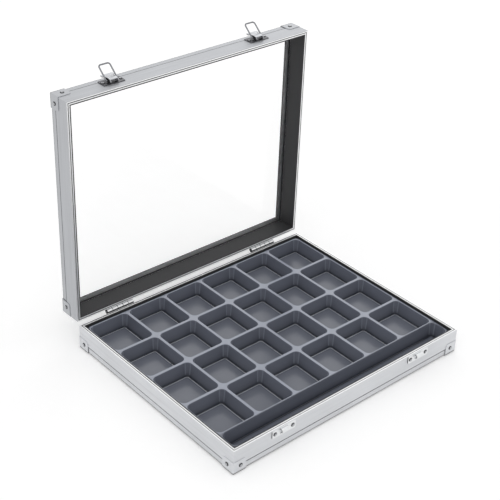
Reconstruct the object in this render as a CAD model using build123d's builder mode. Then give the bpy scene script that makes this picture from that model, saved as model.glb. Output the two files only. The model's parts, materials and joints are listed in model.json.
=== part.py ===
from build123d import *
import os
from math import atan2, cos, degrees, hypot, radians, sin

# Mineral specimen box: two shallow mitred frames hinged along the back, a lift-out tray
# with small pockets and a front trough, and two draw latches.
# Millimetres. Origin: middle of the base's underside. X along the hinge, Y to the back, Z up.
# The lid is drawn open at a right angle, against the stop on its hinges.

os.makedirs("parts", exist_ok=True)

# ---------------------------------------------------------------- driving dimensions
CASE_WIDTH = 345.0  # along the hinge
CASE_DEPTH = 280.0  # front to back
RAIL_HEIGHT = 31.0  # closed face to rim, the same extrusion in base and lid
RIM_GAP = 0.6  # between the two rims when the lid is shut

# rail extrusion, measured inwards from the outer face and up from the closed face
RAIL_WALL = 1.8
BEAD_WIDTH = 4.5
BEAD_HEIGHT = 2.9
BEAD_CHAMFER = 0.5
BEAD_GROOVE_FROM = 1.9
BEAD_GROOVE_WIDTH = 0.6
BEAD_GROOVE_DEPTH = 0.4
LIP_WIDTH = 8.0
LIP_THICKNESS = 1.5
LEDGE_THICKNESS = 1.5
CLOSED_EDGE_RADIUS = 2.5
FACET_INSET = 0.4
GROOVE_HEIGHT = 9.3
GROOVE_WIDTH = 0.8
GROOVE_DEPTH = 0.9

# panes, board and liners
PANE_THICKNESS = 3.0
PANE_EDGE_GAP = 0.2
PANE_FACE_GAP = 0.3
PANE_CORNER_RADIUS = 1.0
BOARD_FIELD_GAP = 0.3
LINER_GAP = 0.1
LINER_MITRE_GAP = 0.2

# corner caps
CAP_LEG = 17.0
CAP_HEIGHT = 16.0
CAP_THICKNESS = 0.7
CAP_CORNER_RADIUS = 1.0
CAP_TAB_RADIUS = 4.0
CAP_RIVET_ALONG = 9.5
CAP_RIVET_HEIGHT = 9.0

# rivets
RIVET_RADIUS = 1.2
RIVET_HOLE_GAP = 0.05
RIVET_HEAD_RADIUS = 2.2
RIVET_HEAD_HEIGHT = 0.7
RIVET_HEAD_TAPER = 35.0
RIVET_TAIL_GAP = 0.05

# hinges
HINGE_FROM_END = 59.5  # the hinge's middle from the end of the case
HINGE_WIDTH = 38.0
HINGE_KNUCKLES = 5
KNUCKLE_RADIUS = 2.8
KNUCKLE_GAP = 0.3
LEAF_THICKNESS = 1.2
LEAF_HEIGHT = 16.0
LEAF_NOTCH_GAP = 0.4
LEAF_CORNER_RADIUS = 2.0
LEAF_RIVET_SPACING = 24.0
PIN_RADIUS = 1.0
PIN_FIXED_GAP = 0.02
PIN_RUNNING_GAP = 0.06
PIN_CHAMFER = 0.3
STOP_REACH = 5.2
STOP_THICKNESS = 1.2
STOP_GAP = 0.05

# tray
TRAY_SIDE_GAP = 1.0
TRAY_BELOW_RIM = 2.5
TRAY_CORNER_RADIUS = 4.0
TRAY_EDGE = 2.5
TRAY_COLUMNS = 6
TRAY_ROWS = 4
RIB_WIDTH = 3.5
TROUGH_RIB_WIDTH = 2.0
TROUGH_DEPTH = 23.5  # front to back
POCKET_DEPTH = 18.0
POCKET_CORNER_RADIUS = 6.5
POCKET_FLOOR_CHAMFER = 1.6
DRAFT_ANGLE = 5.0
TRAY_SKIN = 1.2
TRAY_SKIRT = 1.5

# catches on the base's front
LATCH_FROM_END = 68.5  # the latch's middle from the end of the case
CATCH_WIDTH = 33.0
CATCH_HEIGHT = 10.0
CATCH_BELOW_RIM = 0.8
CATCH_RIVET_SPACING = 25.0
FITTING_THICKNESS = 0.8
FITTING_CORNER_RADIUS = 1.5
HOOK_WIDTH = 10.4
HOOK_THICKNESS = 0.9
HOOK_LIP = 2.2
HOOK_SEAT_BELOW_RIM = 4.0
HOOK_SEAT_GAP = 0.2
HOOK_WINDOW_GAP = 0.4
HOOK_WINDOW_HEIGHT = 4.4

# draw latches on the lid's front, distances measured from the rim and out from the rail
LATCH_PLATE_WIDTH = 28.0
LATCH_PLATE_HEIGHT = 14.0
LATCH_PLATE_FROM_RIM = 9.0
LATCH_RIVET_SPACING = 23.0
LEVER_PIVOT_FROM_RIM = 11.0
BAIL_PIVOT_FROM_RIM = 15.0
PIVOT_HEIGHT = 2.7
EAR_RADIUS = 1.5
LEVER_WIDTH = 11.0
LEVER_SIDE_GAP = 0.3
LEVER_THICKNESS = 0.8
LEVER_PLATE_GAP = 0.2
LEVER_EAR_GAP = 0.1
LEVER_CROWN = 0.5
LEVER_LENGTH = 14.5
LEVER_TAIL_WIDTH = 15.8
LEVER_TAIL_LENGTH = 3.6
LEVER_TAIL_RISE = 0.6
LEVER_PIN_RADIUS = 0.8
LEVER_PIN_OVERHANG = 0.3
BAIL_WIRE_RADIUS = 0.9
BAIL_WIDTH = 14.4  # between the legs' centre lines
BAIL_CORNER_RADIUS = 2.0
BAIL_END_RADIUS = 1.4
BAIL_END_REACH = 0.5
BAIL_LEAN = 41.0  # degrees above the rail, leaning away from the rim
RUNNING_GAP = 0.05

# ---------------------------------------------------------------- derived sizes
HALF_GAP = RIM_GAP / 2
HINGE_X = CASE_WIDTH / 2 - HINGE_FROM_END
LATCH_X = CASE_WIDTH / 2 - LATCH_FROM_END
HINGE_AXIS_Y = CASE_DEPTH / 2 + KNUCKLE_RADIUS
HINGE_AXIS_Z = RAIL_HEIGHT + HALF_GAP
RIVET_HOLE_RADIUS = RIVET_RADIUS + RIVET_HOLE_GAP
CHANNEL_HEIGHT = PANE_THICKNESS + PANE_FACE_GAP
LEDGE_LOW = LIP_THICKNESS + CHANNEL_HEIGHT
LEDGE_HIGH = LEDGE_LOW + LEDGE_THICKNESS
BEAD_LOW = RAIL_HEIGHT - BEAD_HEIGHT
KNUCKLE_PITCH = HINGE_WIDTH / HINGE_KNUCKLES
LEAF_TOP = HINGE_AXIS_Z - KNUCKLE_RADIUS - LEAF_NOTCH_GAP
LEAF_MIDDLE = LEAF_TOP - LEAF_HEIGHT / 2
CATCH_MIDDLE = RAIL_HEIGHT - CATCH_BELOW_RIM - CATCH_HEIGHT / 2
LATCH_PLATE_MIDDLE = RAIL_HEIGHT - LATCH_PLATE_FROM_RIM - LATCH_PLATE_HEIGHT / 2
EAR_SPACING = LEVER_WIDTH - 2 * (LEVER_THICKNESS + LEVER_SIDE_GAP + FITTING_THICKNESS)
SEAT_RADIUS = BAIL_WIRE_RADIUS + HOOK_SEAT_GAP
SEAT_OUT = FITTING_THICKNESS + SEAT_RADIUS
BAIL_DROP = BAIL_PIVOT_FROM_RIM + RIM_GAP + HOOK_SEAT_BELOW_RIM
BAIL_LENGTH = hypot(BAIL_DROP, PIVOT_HEIGHT - SEAT_OUT)
BAIL_SWING = 180 + degrees(atan2(PIVOT_HEIGHT - SEAT_OUT, BAIL_DROP)) - BAIL_LEAN
SIDES = ("front", "back", "left", "right")
CORNERS = [(end, flank) for end in ("front", "back") for flank in ("left", "right")]
RIGHT = Vector(1, 0, 0)


class Half:
    """One half of the case: the middle of its closed face, and the ways its front and rim face."""

    def __init__(self, name, centre, front, rim):
        self.name = name
        self.centre = Vector(*centre)
        self.front = Vector(*front)
        self.rim = Vector(*rim)

    def out(self, side):
        ways = {"front": self.front, "back": -self.front, "left": -RIGHT, "right": RIGHT}
        return ways[side]

    def reach(self, side):
        return (CASE_DEPTH if side in ("front", "back") else CASE_WIDTH) / 2

    def run(self, side):
        return CASE_WIDTH if side in ("front", "back") else CASE_DEPTH

    def point(self, side, along=0.0, height=0.0):
        """A point on a side's outer face, along it to the right or to the front."""
        way = RIGHT if side in ("front", "back") else self.front
        return self.centre + self.out(side) * self.reach(side) + way * along + self.rim * height

    def section(self, side, along=0.0):
        """Across a rail: x runs inwards from the outer face, y from the closed face to the rim."""
        inward = -self.out(side)
        return Plane(self.point(side, along), x_dir=inward, z_dir=inward.cross(self.rim))

    def face(self, side, along=0.0, height=0.0):
        """On a rail's outer face: y runs to the rim, z outwards."""
        out = self.out(side)
        return Plane(self.point(side, along, height), x_dir=self.rim.cross(out), z_dir=out)

    def rim_section(self, side, along=0.0):
        """Across a fitting: x runs from the rim to the closed face, y outwards."""
        away = -self.rim
        origin = self.point(side, along, RAIL_HEIGHT)
        return Plane(origin, x_dir=away, z_dir=away.cross(self.out(side)))

    def plan(self, side, height=0.0):
        """Looking into the half from its rim: y runs out through the named side."""
        out = self.out(side)
        origin = self.centre + self.rim * height
        return Plane(origin, x_dir=out.cross(self.rim), z_dir=self.rim)

    def mitre(self, side, gap=0.0):
        """The plan outline of a rail cut at 45 degrees at both ends."""
        reach = self.reach(side)
        end = self.run(side) / 2 - gap
        return [
            (-end, reach),
            (end, reach),
            (end - LIP_WIDTH, reach - LIP_WIDTH),
            (LIP_WIDTH - end, reach - LIP_WIDTH),
        ]

    def rivet_spots(self, side):
        """Every rivet in one rail, as distances along it and up from the closed face."""
        return self.cap_spots(side) + FITTING_SPOTS.get((self.name, side), [])

    def cap_spots(self, side):
        """The rivets of the two corner caps that reach onto a side."""
        end = self.run(side) / 2 - CAP_RIVET_ALONG
        return [(-end, CAP_RIVET_HEIGHT), (end, CAP_RIVET_HEIGHT)]


def paired_spots(fitting_x, rivet_spacing, height):
    """Two rivets through each of two fittings that stand the same way either side of the middle."""
    return [
        (fitting * fitting_x + rivet * rivet_spacing / 2, height)
        for fitting in (-1, 1)
        for rivet in (-1, 1)
    ]


HINGE_SPOTS = paired_spots(HINGE_X, LEAF_RIVET_SPACING, LEAF_MIDDLE)
CATCH_SPOTS = paired_spots(LATCH_X, CATCH_RIVET_SPACING, CATCH_MIDDLE)
LATCH_SPOTS = paired_spots(LATCH_X, LATCH_RIVET_SPACING, LATCH_PLATE_MIDDLE)
FITTING_SPOTS = {
    ("base", "front"): CATCH_SPOTS,
    ("base", "back"): HINGE_SPOTS,
    ("lid", "front"): LATCH_SPOTS,
    ("lid", "back"): HINGE_SPOTS,
}


BASE = Half("base", (0, 0, 0), (0, -1, 0), (0, 0, 1))
LID = Half(
    "lid",
    (0, HINGE_AXIS_Y + HALF_GAP + RAIL_HEIGHT, HINGE_AXIS_Z + KNUCKLE_RADIUS + CASE_DEPTH / 2),
    (0, 0, 1),
    (0, -1, 0),
)


def save(builder, label):
    builder.part.label = label
    export_step(builder.part, f"parts/{label}.step")


# ---------------------------------------------------------------- frames
def make_rail(half, side):
    """One mitred length of the extrusion, with its rivet holes."""
    with BuildPart() as rail:
        with BuildSketch(half.section(side)):
            with BuildLine():
                edge_centre = (FACET_INSET + CLOSED_EDGE_RADIUS, CLOSED_EDGE_RADIUS)
                edge = CenterArc(edge_centre, CLOSED_EDGE_RADIUS, 180, 90)
                groove_end = BEAD_GROOVE_FROM + BEAD_GROOVE_WIDTH
                Polyline(
                    edge @ 0,
                    (FACET_INSET, GROOVE_HEIGHT - GROOVE_WIDTH / 2),
                    (GROOVE_DEPTH, GROOVE_HEIGHT - GROOVE_WIDTH / 2),
                    (GROOVE_DEPTH, GROOVE_HEIGHT + GROOVE_WIDTH / 2),
                    (0, GROOVE_HEIGHT + GROOVE_WIDTH / 2),
                    (0, RAIL_HEIGHT - BEAD_CHAMFER),
                    (BEAD_CHAMFER, RAIL_HEIGHT),
                    (BEAD_GROOVE_FROM, RAIL_HEIGHT),
                    (BEAD_GROOVE_FROM, RAIL_HEIGHT - BEAD_GROOVE_DEPTH),
                    (groove_end, RAIL_HEIGHT - BEAD_GROOVE_DEPTH),
                    (groove_end, RAIL_HEIGHT),
                    (BEAD_WIDTH - BEAD_CHAMFER, RAIL_HEIGHT),
                    (BEAD_WIDTH, RAIL_HEIGHT - BEAD_CHAMFER),
                    (BEAD_WIDTH, BEAD_LOW),
                    (RAIL_WALL, BEAD_LOW),
                    (RAIL_WALL, LEDGE_HIGH),
                    (BEAD_WIDTH, LEDGE_HIGH),
                    (BEAD_WIDTH, LEDGE_LOW),
                    (RAIL_WALL, LEDGE_LOW),
                    (RAIL_WALL, LIP_THICKNESS),
                    (LIP_WIDTH, LIP_THICKNESS),
                    (LIP_WIDTH, 0),
                    edge @ 1,
                )
            make_face()
        extrude(amount=half.run(side) / 2, both=True)
        with BuildSketch(half.plan(side)):
            Polygon(*half.mitre(side), align=None)
        extrude(amount=RAIL_HEIGHT, mode=Mode.INTERSECT)
        with BuildSketch(half.face(side)):
            with Locations(*half.rivet_spots(side)):
                Circle(RIVET_HOLE_RADIUS)
        extrude(amount=-RAIL_WALL, mode=Mode.SUBTRACT)
    save(rail, f"{half.name}_{side}_rail")


def make_liner(half, side):
    """The dark strip that fills the rail's recess between its ledge and its bead."""
    low = LEDGE_HIGH + LINER_GAP
    height = BEAD_LOW - LINER_GAP - low
    thickness = BEAD_WIDTH - RAIL_WALL - LINER_GAP
    with BuildPart() as liner:
        with BuildSketch(half.section(side)):
            with Locations((BEAD_WIDTH - thickness / 2, low + height / 2)):
                Rectangle(thickness, height)
        extrude(amount=half.run(side) / 2, both=True)
        with BuildSketch(half.plan(side)):
            Polygon(*half.mitre(side, LINER_MITRE_GAP), align=None)
        extrude(amount=RAIL_HEIGHT, mode=Mode.INTERSECT)
    save(liner, f"{half.name}_{side}_liner")


def make_cap(half, end, flank):
    """A pressed cap round one outer corner, curled in over the closed edge."""
    curl_centre = (FACET_INSET + CLOSED_EDGE_RADIUS, CLOSED_EDGE_RADIUS)
    inner = curl_centre[0]
    outer = inner + CAP_THICKNESS
    inner_turn = 90 - degrees(atan2((inner**2 - CLOSED_EDGE_RADIUS**2) ** 0.5, CLOSED_EDGE_RADIUS))
    outer_turn = 90 - degrees(atan2((outer**2 - CLOSED_EDGE_RADIUS**2) ** 0.5, CLOSED_EDGE_RADIUS))
    end_way = 1 if flank == "right" else -1
    flank_way = 1 if end == "front" else -1
    corner = half.point(end, end_way * half.run(end) / 2)
    start_along = end_way * (half.run(end) / 2 - CAP_LEG)
    finish = half.point(flank, flank_way * (half.run(flank) / 2 - CAP_LEG))
    with BuildPart() as cap:
        with BuildLine() as path:
            Polyline(half.point(end, start_along), corner, finish)
        with BuildSketch(half.section(end, start_along)):
            with BuildLine():
                inside = CenterArc(curl_centre, inner, 180, inner_turn)
                outside = CenterArc(curl_centre, outer, 180, outer_turn)
                Line(inside @ 1, outside @ 1)
                Polyline(inside @ 0, (0, CAP_HEIGHT), (-CAP_THICKNESS, CAP_HEIGHT), outside @ 0)
            make_face()
        sweep(path=path.wire(), transition=Transition.RIGHT)
        along_rim = Axis(half.centre, half.rim)
        corner_edges = cap.edges().filter_by(along_rim).sort_by_distance(half.centre)
        fillet(corner_edges[-1], CAP_CORNER_RADIUS)
        for side, way in ((end, end_way), (flank, flank_way)):
            tab_corner = half.point(side, way * (half.run(side) / 2 - CAP_LEG), CAP_HEIGHT)
            outward = Axis(tab_corner, half.out(side))
            fillet(cap.edges().filter_by(outward).sort_by_distance(tab_corner)[0], CAP_TAB_RADIUS)
            spot = way * (half.run(side) / 2 - CAP_RIVET_ALONG)
            with BuildSketch(half.face(side, spot, CAP_RIVET_HEIGHT)):
                Circle(RIVET_HOLE_RADIUS)
            extrude(amount=CAP_THICKNESS, mode=Mode.SUBTRACT)
    save(cap, f"{half.name}_corner_cap_{end}_{flank}")


def make_rivets(half, spots_by_side, plate_thickness, label):
    """Rivets through a fitting and the rail's outer wall, as one group."""
    with BuildPart() as rivets:
        for side, spots in spots_by_side.items():
            with BuildSketch(half.face(side).offset(RIVET_TAIL_GAP - RAIL_WALL)):
                with Locations(*spots):
                    Circle(RIVET_RADIUS)
            extrude(amount=RAIL_WALL - RIVET_TAIL_GAP + plate_thickness)
            with BuildSketch(half.face(side).offset(plate_thickness)):
                with Locations(*spots):
                    Circle(RIVET_HEAD_RADIUS)
            extrude(amount=RIVET_HEAD_HEIGHT, taper=RIVET_HEAD_TAPER)
    save(rivets, label)


# ---------------------------------------------------------------- pane and board
def make_glass():
    """The lid's clear pane, lying on the lips of the lid's rails."""
    with BuildPart() as glass:
        with BuildSketch(LID.plan("front", LIP_THICKNESS)):
            edge = 2 * (RAIL_WALL + PANE_EDGE_GAP)
            RectangleRounded(CASE_WIDTH - edge, CASE_DEPTH - edge, PANE_CORNER_RADIUS)
        extrude(amount=PANE_THICKNESS)
    save(glass, "lid_glass")


def make_board():
    """The base's bottom board, rebated so that its underside is flush with the rails."""
    with BuildPart() as board:
        with BuildSketch(BASE.plan("back", LIP_THICKNESS)):
            edge = 2 * (RAIL_WALL + PANE_EDGE_GAP)
            RectangleRounded(CASE_WIDTH - edge, CASE_DEPTH - edge, PANE_CORNER_RADIUS)
        extrude(amount=PANE_THICKNESS)
        with BuildSketch(BASE.plan("back")):
            lip = 2 * (LIP_WIDTH + BOARD_FIELD_GAP)
            Rectangle(CASE_WIDTH - lip, CASE_DEPTH - lip)
        extrude(amount=LIP_THICKNESS)
    save(board, "base_panel")


# ---------------------------------------------------------------- hinges
def make_leaf(half, x, label, knuckles, bore_gap, has_stop):
    """A hinge leaf on the back of a half, with its share of the knuckles."""
    with BuildPart() as leaf:
        with BuildSketch(half.face("back", x, LEAF_MIDDLE)):
            RectangleRounded(HINGE_WIDTH, LEAF_HEIGHT, LEAF_CORNER_RADIUS)
            with Locations((0, LEAF_HEIGHT / 4)):  # square corners in the half by the knuckles
                Rectangle(HINGE_WIDTH, LEAF_HEIGHT / 2)
        extrude(amount=LEAF_THICKNESS)
        for knuckle in knuckles:
            middle = x + (knuckle - (HINGE_KNUCKLES - 1) / 2) * KNUCKLE_PITCH
            with BuildSketch(half.section("back", middle)):
                with Locations((-LEAF_THICKNESS / 2, (LEAF_TOP + HINGE_AXIS_Z) / 2)):
                    Rectangle(LEAF_THICKNESS, HINGE_AXIS_Z - LEAF_TOP)
                with Locations((-KNUCKLE_RADIUS, HINGE_AXIS_Z)):
                    Circle(KNUCKLE_RADIUS)
                if has_stop:
                    stop_top = HINGE_AXIS_Z + KNUCKLE_RADIUS - LEAF_THICKNESS - STOP_GAP
                    stop_middle = stop_top - STOP_THICKNESS / 2
                    with Locations((-KNUCKLE_RADIUS - STOP_REACH / 2, stop_middle)):
                        Rectangle(STOP_REACH, STOP_THICKNESS)
                with Locations((-KNUCKLE_RADIUS, HINGE_AXIS_Z)):
                    Circle(PIN_RADIUS + bore_gap, mode=Mode.SUBTRACT)
            extrude(amount=(KNUCKLE_PITCH - KNUCKLE_GAP) / 2, both=True)
        with BuildSketch(half.face("back", x, LEAF_MIDDLE)):
            with Locations((-LEAF_RIVET_SPACING / 2, 0), (LEAF_RIVET_SPACING / 2, 0)):
                Circle(RIVET_HOLE_RADIUS)
        extrude(amount=LEAF_THICKNESS, mode=Mode.SUBTRACT)
    save(leaf, label)


def make_hinge_pin(x, label):
    with BuildPart() as pin:
        with BuildSketch(Plane((x, HINGE_AXIS_Y, HINGE_AXIS_Z), x_dir=(0, 1, 0), z_dir=(1, 0, 0))):
            Circle(PIN_RADIUS)
        extrude(amount=HINGE_WIDTH / 2, both=True)
        ends = pin.edges().filter_by(GeomType.CIRCLE)
        chamfer(ends, PIN_CHAMFER)
    save(pin, label)


# ---------------------------------------------------------------- catches
def make_catch(x, label):
    """A riveted plate with a tongue pressed out and curled over into a hook."""
    seat = (HOOK_SEAT_BELOW_RIM, SEAT_OUT)
    hook_outer = SEAT_RADIUS + HOOK_THICKNESS
    hook_top = SEAT_OUT + hook_outer
    hook_reach = hook_outer + HOOK_LIP
    plate_middle = CATCH_BELOW_RIM + CATCH_HEIGHT / 2
    with BuildPart() as catch:
        with BuildSketch(BASE.face("front", x, RAIL_HEIGHT)):
            with Locations((0, -plate_middle)):
                RectangleRounded(CATCH_WIDTH, CATCH_HEIGHT, FITTING_CORNER_RADIUS)
            with Locations(
                (-CATCH_RIVET_SPACING / 2, -plate_middle), (CATCH_RIVET_SPACING / 2, -plate_middle)
            ):
                Circle(RIVET_HOLE_RADIUS, mode=Mode.SUBTRACT)
            window_middle = HOOK_SEAT_BELOW_RIM + HOOK_WINDOW_GAP + HOOK_WINDOW_HEIGHT / 2
            with Locations((0, -window_middle)):
                Rectangle(HOOK_WIDTH, HOOK_WINDOW_HEIGHT, mode=Mode.SUBTRACT)
        extrude(amount=FITTING_THICKNESS)
        with BuildSketch(BASE.rim_section("front", x)):
            with BuildLine():
                under = CenterArc(seat, SEAT_RADIUS, 90, 180)
                over = CenterArc(seat, hook_outer, 90, 180)
                Polyline(
                    under @ 0,
                    (seat[0] + HOOK_LIP, SEAT_OUT + SEAT_RADIUS),
                    (seat[0] + HOOK_LIP, hook_top),
                    over @ 0,
                )
                Line(under @ 1, over @ 1)
            make_face()
            with Locations((seat[0], hook_top / 2)):
                Rectangle(2 * hook_reach, hook_top, mode=Mode.INTERSECT)
        extrude(amount=HOOK_WIDTH / 2, both=True)
    save(catch, label)


# ---------------------------------------------------------------- draw latches
def make_latch_plate(x, label):
    """The riveted plate with the two ears that carry the lever's pin."""
    plate_middle = LATCH_PLATE_FROM_RIM + LATCH_PLATE_HEIGHT / 2
    pivot = (LEVER_PIVOT_FROM_RIM, PIVOT_HEIGHT)
    with BuildPart() as plate:
        with BuildSketch(LID.face("front", x, RAIL_HEIGHT)):
            with Locations((0, -plate_middle)):
                RectangleRounded(LATCH_PLATE_WIDTH, LATCH_PLATE_HEIGHT, FITTING_CORNER_RADIUS)
            with Locations(
                (-LATCH_RIVET_SPACING / 2, -plate_middle), (LATCH_RIVET_SPACING / 2, -plate_middle)
            ):
                Circle(RIVET_HOLE_RADIUS, mode=Mode.SUBTRACT)
        extrude(amount=FITTING_THICKNESS)
        for way in (-1, 1):
            ear_x = x + way * (EAR_SPACING + FITTING_THICKNESS) / 2
            with BuildSketch(LID.rim_section("front", ear_x)):
                with Locations(pivot):
                    Circle(EAR_RADIUS)
                with Locations((LEVER_PIVOT_FROM_RIM, PIVOT_HEIGHT / 2)):
                    Rectangle(2 * EAR_RADIUS, PIVOT_HEIGHT)
                with Locations(pivot):
                    Circle(LEVER_PIN_RADIUS + PIN_FIXED_GAP, mode=Mode.SUBTRACT)
            extrude(amount=FITTING_THICKNESS / 2, both=True)
    save(plate, label)


def make_lever(x, label):
    """The bent lever: a crowned top with a wide tail, and two cheeks with pin and bail holes."""
    pivot = (LEVER_PIVOT_FROM_RIM, PIVOT_HEIGHT)
    bail_pivot = (BAIL_PIVOT_FROM_RIM, PIVOT_HEIGHT)
    cheek_radius = PIVOT_HEIGHT - FITTING_THICKNESS - LEVER_PLATE_GAP
    under = PIVOT_HEIGHT + EAR_RADIUS + LEVER_EAR_GAP
    front = LEVER_PIVOT_FROM_RIM
    back = front + LEVER_LENGTH
    bend = back - LEVER_TAIL_LENGTH
    crown = ((front + bend) / 2, under + LEVER_CROWN)
    heel = BAIL_PIVOT_FROM_RIM + cheek_radius
    with BuildPart() as lever:
        with BuildSketch(LID.rim_section("front", x)):
            with BuildLine():
                low = ThreePointArc((front, under), crown, (bend, under))
                high_crown = (crown[0], crown[1] + LEVER_THICKNESS)
                high_start = (front, under + LEVER_THICKNESS)
                high = ThreePointArc(high_start, high_crown, (bend, under + LEVER_THICKNESS))
                Line(low @ 0, high @ 0)
                Polyline(
                    low @ 1,
                    (back, under + LEVER_TAIL_RISE),
                    (back, under + LEVER_TAIL_RISE + LEVER_THICKNESS),
                    high @ 1,
                )
            make_face()
        extrude(amount=LEVER_WIDTH / 2, both=True)
        for way in (-1, 1):
            cheek_x = x + way * (LEVER_WIDTH - LEVER_THICKNESS) / 2
            with BuildSketch(LID.rim_section("front", cheek_x)):
                with Locations(pivot, bail_pivot):
                    Circle(cheek_radius)
                with BuildLine():
                    Polyline(
                        (front, PIVOT_HEIGHT - cheek_radius),
                        (BAIL_PIVOT_FROM_RIM, PIVOT_HEIGHT - cheek_radius),
                        (heel, PIVOT_HEIGHT),
                        (bend, under + LEVER_THICKNESS / 2),
                        (front, under + LEVER_THICKNESS / 2),
                        close=True,
                    )
                make_face()
                with Locations(pivot):
                    Circle(LEVER_PIN_RADIUS + RUNNING_GAP, mode=Mode.SUBTRACT)
                with Locations(bail_pivot):
                    Circle(BAIL_WIRE_RADIUS + RUNNING_GAP, mode=Mode.SUBTRACT)
            extrude(amount=LEVER_THICKNESS / 2, both=True)
        with BuildSketch(LID.rim_section("front", x)):
            with BuildLine():
                Polyline(
                    (bend, under),
                    (back, under + LEVER_TAIL_RISE),
                    (back, under + LEVER_TAIL_RISE + LEVER_THICKNESS),
                    (bend, under + LEVER_THICKNESS),
                    close=True,
                )
            make_face()
        extrude(amount=LEVER_TAIL_WIDTH / 2, both=True)
    save(lever, label)


def make_lever_pin(x, label):
    half_length = LEVER_WIDTH / 2 + LEVER_PIN_OVERHANG
    with BuildPart() as pin:
        with BuildSketch(LID.rim_section("front", x)):
            with Locations((LEVER_PIVOT_FROM_RIM, PIVOT_HEIGHT)):
                Circle(LEVER_PIN_RADIUS)
        extrude(amount=half_length, both=True)
    save(pin, label)


def make_bail(x, label):
    """A wire loop whose turned-in ends sit in the lever's cheeks."""
    across = LID.rim_section("front", x)
    origin = across.from_local_coords(Vector(BAIL_PIVOT_FROM_RIM, PIVOT_HEIGHT, 0))
    leg_way = across.x_dir * cos(radians(BAIL_LEAN)) + across.y_dir * sin(radians(BAIL_LEAN))
    loop_plane = Plane(origin, x_dir=RIGHT, z_dir=RIGHT.cross(leg_way))
    leg = BAIL_WIDTH / 2
    end = LEVER_WIDTH / 2 - LEVER_THICKNESS - BAIL_END_REACH
    turns = [BAIL_END_RADIUS, BAIL_CORNER_RADIUS, BAIL_CORNER_RADIUS, BAIL_END_RADIUS]
    with BuildPart() as bail:
        with BuildLine(loop_plane) as loop:
            FilletPolyline(
                (-end, 0),
                (-leg, 0),
                (-leg, BAIL_LENGTH),
                (leg, BAIL_LENGTH),
                (leg, 0),
                (end, 0),
                radius=turns,
            )
        with BuildSketch(Plane(loop.line @ 0, z_dir=loop.line % 0)):
            Circle(BAIL_WIRE_RADIUS)
        sweep(path=loop.line)
    save(bail, label)


# ---------------------------------------------------------------- tray
def drafted_form(width, length, grow=0.0):
    """What a cup's mould leaves: narrower towards its rounded floor, grown by a wall if given."""
    with BuildPart() as form:
        with BuildSketch():
            RectangleRounded(width + 2 * grow, length + 2 * grow, POCKET_CORNER_RADIUS + grow)
        extrude(amount=-POCKET_DEPTH - grow, taper=DRAFT_ANGLE)
        if not grow:
            chamfer(form.faces().sort_by(Axis.Z)[0].edges(), POCKET_FLOOR_CHAMFER)
    return form.part


def make_tray():
    """The lift-out tray: an even-walled moulding of drafted cups, open underneath."""
    width = CASE_WIDTH - 2 * (BEAD_WIDTH + TRAY_SIDE_GAP)
    depth = CASE_DEPTH - 2 * (BEAD_WIDTH + TRAY_SIDE_GAP)
    top = RAIL_HEIGHT - TRAY_BELOW_RIM
    bottom = LIP_THICKNESS + PANE_THICKNESS
    inner_width = width - 2 * TRAY_EDGE
    inner_depth = depth - 2 * TRAY_EDGE
    rows_depth = inner_depth - TROUGH_DEPTH - TROUGH_RIB_WIDTH
    rows_middle = (inner_depth - rows_depth) / 2
    trough_middle = (TROUGH_DEPTH - inner_depth) / 2
    pocket_width = (inner_width - (TRAY_COLUMNS - 1) * RIB_WIDTH) / TRAY_COLUMNS
    pocket_length = (rows_depth - (TRAY_ROWS - 1) * RIB_WIDTH) / TRAY_ROWS
    pitch = (pocket_width + RIB_WIDTH, pocket_length + RIB_WIDTH)
    inner_radius = TRAY_CORNER_RADIUS - TRAY_SKIRT

    cups = [(drafted_form(pocket_width, pocket_length, grow), grow) for grow in (TRAY_SKIN, 0)]
    troughs = [drafted_form(inner_width, TROUGH_DEPTH, grow) for grow in (TRAY_SKIN, 0)]

    with BuildPart() as tray:
        with BuildSketch(Plane.XY.offset(bottom)):
            RectangleRounded(width, depth, TRAY_CORNER_RADIUS)
        extrude(amount=top - bottom)
        with BuildSketch(Plane.XY.offset(bottom)):
            RectangleRounded(width - 2 * TRAY_SKIRT, depth - 2 * TRAY_SKIRT, inner_radius)
        extrude(amount=top - TRAY_SKIN - bottom, mode=Mode.SUBTRACT)
        with Locations(Plane.XY.offset(top)):
            for (cup, grow), trough in zip(cups, troughs):
                mode = Mode.ADD if grow else Mode.SUBTRACT
                with Locations((0, rows_middle)):
                    with GridLocations(*pitch, TRAY_COLUMNS, TRAY_ROWS):
                        add(cup, mode=mode)
                with Locations((0, trough_middle)):
                    add(trough, mode=mode)
    save(tray, "specimen_tray")


# ---------------------------------------------------------------- the whole box
for half in (BASE, LID):
    for side in SIDES:
        make_rail(half, side)
        make_liner(half, side)
    for end, flank in CORNERS:
        make_cap(half, end, flank)

make_glass()
make_board()
make_tray()

for half in (BASE, LID):
    caps = {side: half.cap_spots(side) for side in SIDES}
    make_rivets(half, caps, CAP_THICKNESS, f"{half.name}_corner_rivets")
    make_rivets(half, {"back": HINGE_SPOTS}, LEAF_THICKNESS, f"hinge_{half.name}_rivets")

make_rivets(BASE, {"front": CATCH_SPOTS}, FITTING_THICKNESS, "catch_rivets")
make_rivets(LID, {"front": LATCH_SPOTS}, FITTING_THICKNESS, "latch_rivets")

for name, way in (("left", -1), ("right", 1)):
    hinge_x = way * HINGE_X
    latch_x = way * LATCH_X
    base_knuckles = range(0, HINGE_KNUCKLES, 2)
    lid_knuckles = range(1, HINGE_KNUCKLES, 2)
    make_leaf(BASE, hinge_x, f"hinge_{name}_base_leaf", base_knuckles, PIN_FIXED_GAP, True)
    make_leaf(LID, hinge_x, f"hinge_{name}_lid_leaf", lid_knuckles, PIN_RUNNING_GAP, False)
    make_hinge_pin(hinge_x, f"hinge_{name}_pin")
    make_catch(latch_x, f"catch_{name}")
    make_latch_plate(latch_x, f"latch_{name}_plate")
    make_lever(latch_x, f"latch_{name}_lever")
    make_lever_pin(latch_x, f"latch_{name}_lever_pin")
    make_bail(latch_x, f"latch_{name}_bail")

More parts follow.
